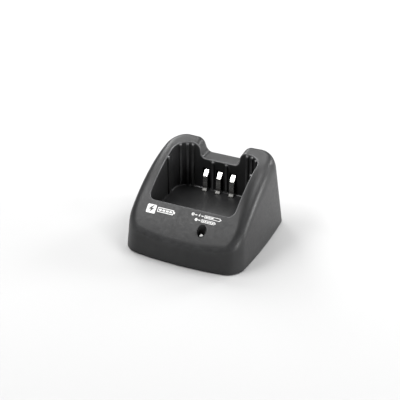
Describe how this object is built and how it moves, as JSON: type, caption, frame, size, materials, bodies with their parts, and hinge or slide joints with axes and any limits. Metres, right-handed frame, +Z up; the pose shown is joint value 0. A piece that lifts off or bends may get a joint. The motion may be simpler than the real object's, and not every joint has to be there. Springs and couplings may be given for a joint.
{
  "type": "desktop radio charger cradle",
  "caption": "Desktop drop-in charger for a handheld two-way radio: sloped housing with a deep pocket, a rear notch, sprung contacts and a lamp in a round well.",
  "frame": {"origin": "on the desk, under the middle of the charger's outline", "axes": "+Z up, -Y to the front where the lamp is, +X to the user's right"},
  "size_m": [0.082, 0.0816, 0.0518],
  "materials": {
    "housing_plastic": "fine spark-eroded texture, satin black ABS",
    "foot_rubber": "matte",
    "label_film": "satin silver film, blank",
    "screw_steel": "zinc plated",
    "board_laminate": "green solder mask",
    "component_black": "moulded matte",
    "inductor_ferrite": "ferrite with lacquered winding",
    "capacitor_sleeve": "shrunk sleeve",
    "heat_sink_aluminium": "satin",
    "lamp_epoxy": "clear diffused epoxy",
    "contact_nickel": "nickel-plated spring bronze",
    "wire_black": "insulation",
    "wire_yellow": "insulation",
    "wire_red": "insulation"
  },
  "bodies": {
    "charger": {"upper_housing": "housing_plastic", "base_cover": "housing_plastic", "rubber_foot_front_left": "foot_rubber", "rubber_foot_front_right": "foot_rubber", "rubber_foot_back_left": "foot_rubber", "rubber_foot_back_right": "foot_rubber", "label_plate": "label_film", "cover_screw_front_left": "screw_steel", "cover_screw_front_right": "screw_steel", "cover_screw_back_left": "screw_steel", "cover_screw_back_right": "screw_steel", "main_circuit_board": "board_laminate", "board_screw_left": "screw_steel", "board_screw_right": "screw_steel", "control_chip": "component_black", "power_inductor": "inductor_ferrite", "filter_capacitor_input": "capacitor_sleeve", "filter_capacitor_output": "capacitor_sleeve", "heat_sink": "heat_sink_aluminium", "power_transistor": "component_black", "indicator_lamp": "lamp_epoxy", "power_inlet_body": "component_black", "power_inlet_pin": "contact_nickel", "contact_tail_left": "contact_nickel", "contact_tail_center": "contact_nickel", "contact_tail_right": "contact_nickel", "contact_carrier": "component_black", "carrier_screw_left": "screw_steel", "carrier_screw_right": "screw_steel", "contact_wire_left": "wire_black", "contact_wire_center": "wire_yellow", "contact_wire_right": "wire_red"},
    "left_contact": {"contact_spring_left": "contact_nickel"},
    "center_contact": {"contact_spring_center": "contact_nickel"},
    "right_contact": {"contact_spring_right": "contact_nickel"}
  },
  "joints": [
    {"name": "left_contact_press", "type": "hinge", "parent": "charger", "child": "left_contact", "pos_m": [-0.00935, 0.0196, 0.0191], "axis": [-1, 0, 0], "range_deg": [0, 12], "stiffness_Nm_per_rad": 0.032},
    {"name": "center_contact_press", "type": "hinge", "parent": "charger", "child": "center_contact", "pos_m": [0, 0.0196, 0.0191], "axis": [-1, 0, 0], "range_deg": [0, 12], "stiffness_Nm_per_rad": 0.032},
    {"name": "right_contact_press", "type": "hinge", "parent": "charger", "child": "right_contact", "pos_m": [0.00935, 0.0196, 0.0191], "axis": [-1, 0, 0], "range_deg": [0, 12], "stiffness_Nm_per_rad": 0.032}
  ]
}
